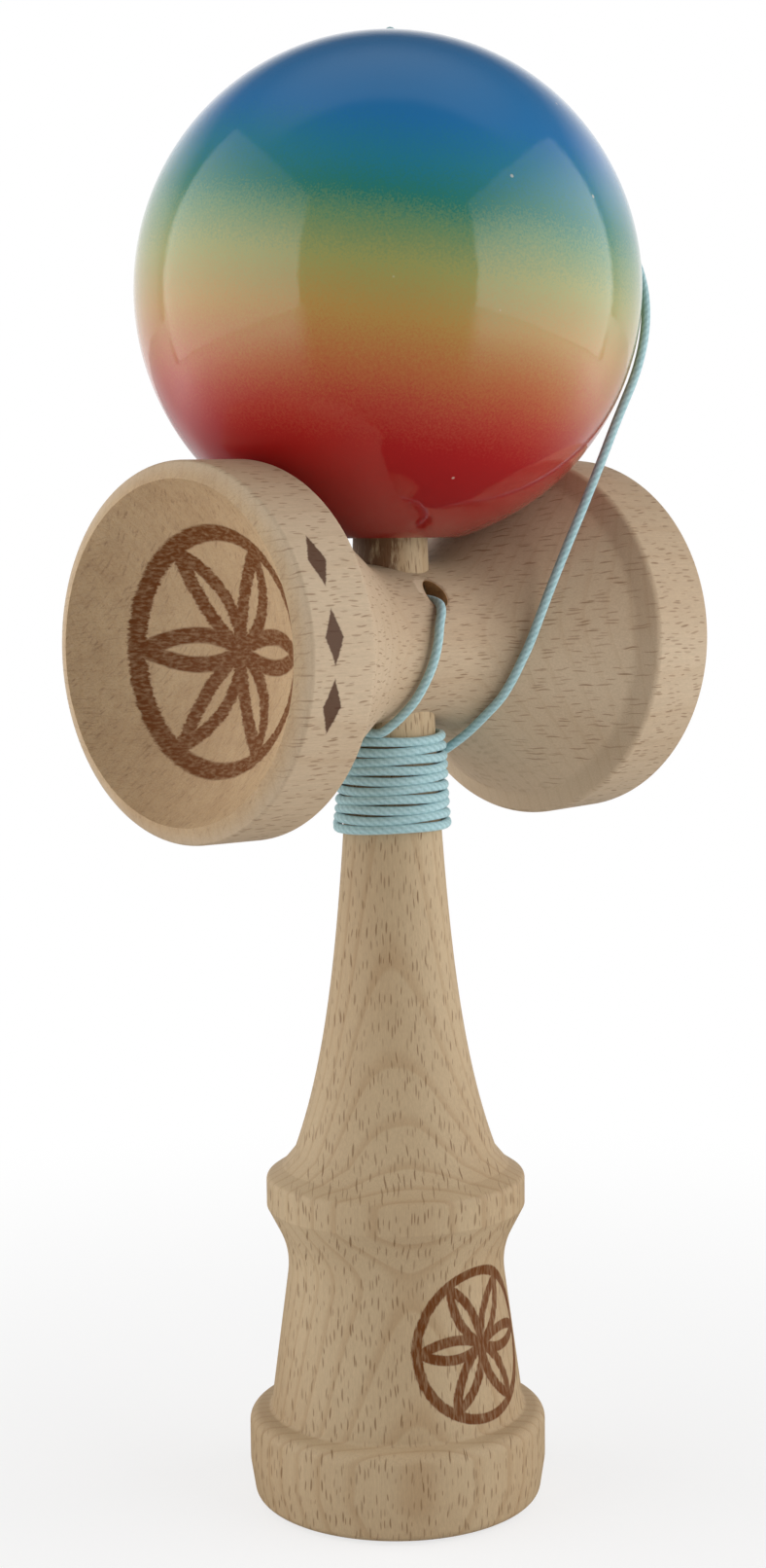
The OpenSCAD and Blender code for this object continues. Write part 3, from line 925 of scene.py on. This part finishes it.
def burntMarks(net, look, place, far, colour):
    x, y, z = net.split(place)
    up = net.minus(z, crossZ)
    ragged = net.minus(net.noise(place, *look["ragged"]), 0.5)
    across = net.scaleAdd(ragged, look["rosetteRagged"], y)
    rosette = net.use(burntRosette, Across=across, Up=up, **look["rosette"])
    bowlR, bowlX = look["bowl"]
    inBowl = net.times(net.fadeOut(far, *bowlR), net.fadeOut(x, *bowlX))
    worn = net.scaleAdd(net.noise(place, *look["worn"]), *beechLook["wear"], clamp=True)
    burn = net.times(rosette["Burn"], inBowl, worn)
    colour = net.mix(burn, colour, beechLook["burn"])
    halfAlong, halfRound = look["lozengeHalf"]
    along = net.scaleAdd(ragged, look["lozengeRagged"], net.minus(x, look["lozengeX"]))
    along = net.over(net.absolute(along), halfAlong)
    turn = net.angle(up, y)
    marks = 0.0
    for degrees in look["lozengeTurns"]:
        run = net.times(net.absolute(net.minus(turn, math.radians(degrees))), look["bandR"] / halfRound)
        marks = net.calc("MAXIMUM", marks, net.fadeOut(net.plus(along, run), *look["lozengeEdge"]))
    marks = net.times(marks, net.fade(far, *look["band"]))
    return net.mix(net.times(marks, look["lozengeShare"]), colour, look["lozengeTone"]), net.plus(burn, marks)


# chipped rim of the string's hole, and painted light on the walls of its bore
chipAndBoreLightLook = {
    "chip": ((0.7, 0.7, 1.4), 4.0, 0.65),
    "front": (-4.0, -3.0),
    "rimChip": -1.7,
    "rimEdge": (0.95, 1.2),
    "rimShare": 0.4,
    "flakeMiddle": (-1.3, 0.8),  # from the hole's middle
    "flakeChip": 1.2,
    "flakeEdge": (1.5, 1.9),
    "flakeShare": 0.7,
    "flakeTone": srgb(216, 194, 166),
    # painted light inside the bore: where it starts, and the pale tone that keeps the deep hole from going dark
    "boreLightEdge": (1.61, 1.68),
    "boreLightTone": srgb(236, 182, 126),
}


def chipsAndBoreLight(net, look, place, colour):
    x, y, z = net.split(place)
    rise = net.minus(z, cordHoleZ)
    hole = net.length(x, rise)
    chip = net.noise(place, *look["chip"])
    front = net.fadeOut(y, *look["front"])
    rim = net.times(net.fadeOut(net.scaleAdd(chip, look["rimChip"], hole), *look["rimEdge"]), front)
    colour = net.mix(net.times(rim, look["rimShare"]), colour, beechLook["tornAndShade"])
    flakeX, flakeZ = look["flakeMiddle"]
    flake = net.length(net.minus(x, flakeX), net.minus(rise, flakeZ))
    flake = net.times(net.fadeOut(net.scaleAdd(chip, look["flakeChip"], flake), *look["flakeEdge"]), front)
    colour = net.mix(net.times(flake, look["flakeShare"]), colour, look["flakeTone"])
    # painted light: the bore's walls take a pale orange tone, brighter than the wood, so the deep hole looks lit
    paintedBoreLight = net.times(net.fadeOut(hole, *look["boreLightEdge"]), front)
    colour = net.mix(paintedBoreLight, colour, net.mix(chip, beechLook["tornAndShade"], look["boreLightTone"]))
    return colour, net.calc("MAXIMUM", rim, flake)


def makeCrossBeech(look):
    material, net, shader, where = newMaterial("crosspieceBeech")
    place = inMillimetres(net, where)
    x, y, z = net.split(place)
    up = net.minus(z, crossZ)
    far = net.length(y, up)
    endR, endX = look["endGrain"]
    endGrain = net.times(net.fadeOut(far, *endR), net.fade(net.absolute(x), *endX))
    # the grain runs along the crosspiece
    faceX, faceY, faceZ = net.split(where["Normal"])
    grain = net.use(beechGrain, Place=net.join(up, y, x), Face=net.join(faceZ, faceY, faceX),
                    Rays=net.scaleAdd(endGrain, *look["rays"]), **look["grain"])
    colour, gouged = gougedEnds(net, look, place, endGrain, grain["Color"])
    colour, burnt = burntMarks(net, markLook, place, far, colour)
    colour, chipped = chipsAndBoreLight(net, chipAndBoreLightLook, place, colour)
    finishBeech(net, shader, grain, colour, net.plus(gouged, burnt, chipped))
    return material


paint(handle, makeHandleBeech(handleLook))
paint(cross, makeCrossBeech(crossLook))
print("beech finished")


# ball lacquer: sprayed bands that melt into each other under a clear coat
lacquerLook = {
    "bands": [(0.05, srgb(142, 5, 5)), (0.19, srgb(165, 14, 14)), (0.255, srgb(174, 62, 43)),
              (0.32, srgb(178, 101, 55)), (0.41, srgb(176, 136, 69)), (0.51, srgb(151, 152, 88)),
              (0.585, srgb(104, 140, 98)), (0.64, srgb(40, 122, 108)), (0.71, srgb(30, 122, 146)),
              (0.79, srgb(22, 113, 172))],
    "lean": (0.09, -0.09),  # how the bands tip
    "drift": (0.06, 2.0),
    "driftFar": 0.05,
    "spray": (3.8, 2.0, 0.7),
    "sprayFar": 0.13,
    "dust": 0.15,
    "dustEdge": (0.02, 0.04),
    "dustTone": srgb(216, 206, 190),
    "dustShare": 0.6,
    "roughness": (0.2, 0.4),
    "skin": (29.3, 29.6),  # radius where the lacquer starts
    "ripple": (0.9, 1.0),
    "rippleBump": (0.05, 0.0002),
    "coat": {"Coat Roughness": 0.06, "Coat IOR": 1.45, "Specular IOR Level": 0.15},
}

# bare wood in the ball's holes and on the bead
bareGrain = {**handleLook["grain"], "Rays": 0.8, "Fine": 1.75, "Rings": 0.45}


def makeLacquer(look):
    material, net, shader, where = newMaterial("ballLacquer")
    place = inMillimetres(net, where)
    x, y, z = net.split(place)
    up = net.minus(z, ballZ)
    leanX, leanY = look["lean"]
    tipped = net.scaleAdd(y, leanY, net.scaleAdd(x, leanX, up))
    drift, spray = net.noise(place, *look["drift"]), net.noise(place, *look["spray"])
    height = net.scaleAdd(tipped, 1 / (2 * ballShape["radius"]), 0.5)
    height = net.scaleAdd(net.minus(drift, 0.5), look["driftFar"], height)
    height = net.scaleAdd(net.minus(spray, 0.5), look["sprayFar"], height)
    ramp = net.add("ValToRGB")
    ramp.color_ramp.interpolation = "LINEAR"
    stops = ramp.color_ramp.elements
    for i, (at, tone) in enumerate(look["bands"]):
        # the ramp comes with two stops
        stop = stops[i] if i < 2 else stops.new(at)
        stop.position = at
        stop.color = tone
    colour = net.fill(ramp, {0: height})[0]
    # a few specks of dust
    dust = net.fadeOut(net.voronoi(place, look["dust"], "3D")["Distance"], *look["dustEdge"])
    colour = net.mix(net.times(dust, look["dustShare"]), colour, look["dustTone"])
    inHole = net.fadeOut(net.length(x, y, up), *look["skin"])
    grain = net.use(beechGrain, Place=place, Face=where["Normal"], **bareGrain)
    net.fill(shader, {
        "Base Color": net.mix(inHole, colour, grain["Color"]),
        "Coat Weight": net.minus(1.0, inHole),
        "Coat Normal": net.bump(net.noise(place, *look["ripple"]), *look["rippleBump"]),
        "Roughness": net.scaleAdd(spray, *look["roughness"]),
        **look["coat"],
    })
    return material


paint(ball, makeLacquer(lacquerLook))
print("ball finished")


# string: a fine round braid on its own UV map
cordLook = {
    "pale": srgb(198, 229, 233),
    "deep": srgb(116, 160, 166),
    "strands": 8,
    "lay": 1.05,  # millimetres along the cord for one strand to pass the next
    "weave": (0.18, 0.32, 0.5),  # share of the crossings, of one way's strands, and the rest
    "fuzz": (18.0, 6.0),  # round the cord, along it
    "fuzzDetail": 3.0,
    "slow": 0.25,
    "tone": (0.42, 0.5, 0.2),  # share of weave, fuzz and slow changes
    "fuzzRelief": 0.8,
    "bump": (0.5, 0.00006),
    "roughness": (0.2, 0.6),
    "sheen": {"Specular IOR Level": 0.25, "Sheen Weight": 0.25, "Sheen Roughness": 0.4},
    "knotWave": {"Scale": 0.8, "Distortion": 1.5},
    "knotBump": (0.5, 0.0001),
    "knotRoughness": 0.7,
}


def makeBraid(look):
    material, net, shader, where = newMaterial("braidedCord")
    u, v, _ = net.split(where["UV"])
    around = net.times(u, look["strands"] / 2)
    along = net.over(v, look["lay"])
    left = net.calc("SINE", net.times(net.plus(around, along), 2 * math.pi))
    right = net.calc("SINE", net.times(net.minus(around, along), 2 * math.pi))
    crossings, oneWay, rest = look["weave"]
    weave = net.scaleAdd(right, oneWay, net.scaleAdd(net.times(left, right), crossings, rest))
    fuzzRound, fuzzAlong = look["fuzz"]
    fuzz = net.noise(net.join(net.times(u, fuzzRound), net.times(v, fuzzAlong), 0.0), 1.0, look["fuzzDetail"])
    slow = net.noise(net.join(0.0, net.times(v, look["slow"]), 0.0), 1.0)
    weaveTone, fuzzTone, slowTone = look["tone"]
    tone = net.plus(net.times(weave, weaveTone), net.times(fuzz, fuzzTone))
    tone = net.scaleAdd(slow, slowTone, tone, clamp=True)
    relief = net.plus(weave, net.times(fuzz, look["fuzzRelief"]))
    net.fill(shader, {
        "Base Color": net.mix(tone, look["deep"], look["pale"]),
        "Normal": net.bump(relief, *look["bump"]),
        "Roughness": net.scaleAdd(fuzz, *look["roughness"]),
        **look["sheen"],
    })
    return material


def makeKnotCord(look):
    material, net, shader, where = newMaterial("knottedCord")
    node = net.add("TexWave")
    node.bands_direction = "DIAGONAL"
    wave = net.fill(node, {"Vector": inMillimetres(net, where), **look["knotWave"]})["Fac"]
    net.fill(shader, {
        "Base Color": net.mix(wave, look["deep"], look["pale"]),
        "Normal": net.bump(wave, *look["knotBump"]),
        "Roughness": look["knotRoughness"],
    })
    return material


def makeBeadWood():
    material, net, shader, where = newMaterial("beadBeech")
    grain = net.use(beechGrain, Place=inMillimetres(net, where), Face=where["Normal"], **bareGrain)
    finishBeech(net, shader, grain, grain["Color"])
    return material


braid = makeBraid(cordLook)
knotCord = makeKnotCord(cordLook)
for piece in (wound, loose):
    paint(piece, braid)
for piece in (stopKnot, anchorKnot):
    paint(piece, knotCord)
paint(bead, makeBeadWood())
print("string finished")


# floor and light: pale walls of light on both sides, an open front and a white ground
wallLook = {
    "left": (6.3, 0.42, 0.9),  # watts, and where it starts to fade upwards and ends
    "right": (7.4, 0.4, 0.82),
    "size": (1.02, 0.96),
    "aside": 0.55,
    "forward": 0.21,
    "height": 0.38,
    "sides": ((0.0, 0.06), (0.94, 1.0)),
    "dim": -0.75,  # how much of the light fades upwards
    "topEdge": 0.02,
}


def softBox(name, look, place, target, watts, fadeFrom, fadeTo):
    data = bpy.data.lights.new(name, "AREA")
    data.shape = "RECTANGLE"
    data.size, data.size_y = look["size"]
    data.energy = watts
    data.use_nodes = True
    net = NodeNet(data.node_tree)
    u, v, _ = net.split(net.add("NewGeometry").outputs["Parametric"])
    sides = net.band(u, *look["sides"])
    dim = net.scaleAdd(net.fade(v, fadeFrom, fadeTo), look["dim"], 1.0)
    top = net.fadeOut(v, fadeTo - look["topEdge"], fadeTo + look["topEdge"])
    net.fill(net.tree.nodes["Emission"], {"Strength": net.times(sides, dim, top)})
    obj = bpy.data.objects.new(name, data)
    obj.location = place
    obj.rotation_euler = (target - place).to_track_quat("-Z", "Y").to_euler()
    scene.collection.objects.link(obj)


def lightWalls(look, ahead, right):
    middle = Vector((0, 0, look["height"])) - ahead * look["forward"]
    softBox("leftWall", look, middle - right * look["aside"], middle, *look["left"])
    softBox("rightWall", look, middle + right * look["aside"], middle, *look["right"])


def seenRays(net):
    # rays that are shown the white ground itself, and rays that a polished face mirrors
    rays = net.add("LightPath").outputs
    return net.calc("MAXIMUM", rays["Is Camera Ray"], rays["Is Transmission Ray"]), rays["Is Glossy Ray"]


def facing(net, vector, way):
    # how far a place or a direction lies towards a way, from -1 to 1
    unit = net.add("VectorMath")
    unit.operation = "NORMALIZE"
    node = net.add("VectorMath")
    node.operation = "DOT_PRODUCT"
    return net.fill(node, {0: net.fill(unit, {0: vector})[0], 1: way})["Value"]


def alongFloor(net, x, y, way):
    return net.plus(net.times(x, way.x), net.times(y, way.y))


floorLook = {
    "radius": 3.0,  # metres
    "sides": 96,
    "drop": 0.2,  # millimetres
    "plain": {"Base Color": srgb(250, 250, 250), "Roughness": 0.9, "Specular IOR Level": 0.0},
    "white": (0.28, 0.72),  # share of pure white added away from the toy, and the share near it
    "whiteEdge": (0.03, 0.2),
    "side": 1.9,  # what the lacquer mirrors of the floor at the sides
    "front": 0.06,
    "left": 0.85,  # share of it on the left
    "leftEdge": (-0.15, 0.15),
    "frontEdge": (0.72, 0.84),
    "backEdge": (0.35, 0.8),
    "backDim": -0.65,
    "nearEdge": (0.12, 0.5),
    "wallEdge": (0.53, 0.56),
    "wallSlant": (0.5, 0.57),
    "leastAside": 0.01,
}


def makeFloor(look, ahead, right):
    bm = bmesh.new()
    bmesh.ops.create_circle(bm, cap_ends=True, segments=look["sides"], radius=look["radius"])
    shift(bm, (0, 0, -look["drop"]))
    floor = meshObject("studioFloor", bm)
    material, net, shader, where = newMaterial("paleFloor")
    plain = net.fill(shader, look["plain"])[0]
    x, y, _ = net.split(where["Object"])
    far = net.length(x, y)
    shown, mirrored = seenRays(net)
    white = net.fill(net.add("Emission"), {"Color": (1, 1, 1, 1)})[0]
    share = net.scaleAdd(net.fade(far, *look["whiteEdge"]), *look["white"])
    ground = net.mixShaders(net.times(share, shown), plain, white)
    # what the lacquer mirrors: dark at the open front, dimmer at the back and behind the walls
    inFront = net.fade(facing(net, where["Object"], -ahead), *look["frontEdge"])
    behind = net.fade(facing(net, where["Object"], ahead), *look["backEdge"])
    across, deep = alongFloor(net, x, y, right), alongFloor(net, x, y, ahead)
    aside = net.absolute(across)
    slant = net.over(deep, net.calc("MAXIMUM", aside, look["leastAside"]))
    pastWall = net.times(net.fade(aside, *look["wallEdge"]), net.fadeOut(slant, *look["wallSlant"]))
    leftShare = net.scaleAdd(net.fade(across, *look["leftEdge"]), 1 - look["left"], look["left"])
    lit = net.times(net.minus(1.0, inFront), net.fade(far, *look["nearEdge"]),
                    net.scaleAdd(behind, look["backDim"], 1.0), leftShare, net.minus(1.0, pastWall))
    strength = net.scaleAdd(lit, look["side"] - look["front"], look["front"])
    gleam = net.fill(net.add("Emission"), {"Strength": strength})[0]
    net.fill(net.tree.nodes["Material Output"], {"Surface": net.mixShaders(mirrored, ground, gleam)})
    paint(floor, material)


worldLook = {
    "ambient": 0.17,
    "front": 0.06,  # what is left of it at the open front
    "frontEdge": (0.45, 0.8),
    "mirrored": 0.6,  # share of it that the lacquer mirrors
    "overhead": 0.27,  # added from above, not mirrored
    "overheadEdge": (0.35, 0.9),
    "behindEdge": (0.3, 0.65),
    "lowEdge": (0.3, 0.7),
    "ceiling": 0.42,  # mirrored only
    "ceilingEdge": (0.7, 0.98),
    "ceilingFront": (0.0, 0.15),
}


def makeWorld(look, ahead):
    world = bpy.data.worlds.new("studioWorld")
    world.use_nodes = True
    scene.world = world
    net = NodeNet(world.node_tree)
    way = net.add("TexCoord").outputs["Generated"]
    forward = facing(net, way, -ahead)
    rise = net.split(way)[2]
    shown, mirrored = seenRays(net)
    level = net.scaleAdd(net.fade(forward, *look["frontEdge"]), look["front"] - look["ambient"], look["ambient"])
    level = net.times(level, net.scaleAdd(mirrored, look["mirrored"] - 1, 1.0))
    above = net.times(net.fade(rise, *look["overheadEdge"]), net.minus(1.0, mirrored))
    level = net.scaleAdd(above, look["overhead"], level)
    # the white ground behind the toy shows in the lacquer's edges
    behind = net.fade(net.times(forward, -1.0), *look["behindEdge"])
    level = net.calc("MAXIMUM", level, net.times(behind, net.fadeOut(rise, *look["lowEdge"]), mirrored))
    ceiling = net.times(net.fade(rise, *look["ceilingEdge"]), net.fadeOut(forward, *look["ceilingFront"]), mirrored)
    level = net.scaleAdd(ceiling, look["ceiling"], level)
    net.fill(net.tree.nodes["Background"],
             {"Color": (1, 1, 1, 1), "Strength": net.calc("MAXIMUM", level, shown)})


floorAhead = Vector((cameraAhead.x, cameraAhead.y, 0)).normalized()
floorRight = Vector((cameraRight.x, cameraRight.y, 0)).normalized()
lightWalls(wallLook, floorAhead, floorRight)
makeFloor(floorLook, floorAhead, floorRight)
makeWorld(worldLook, floorAhead)
print("studio lit")
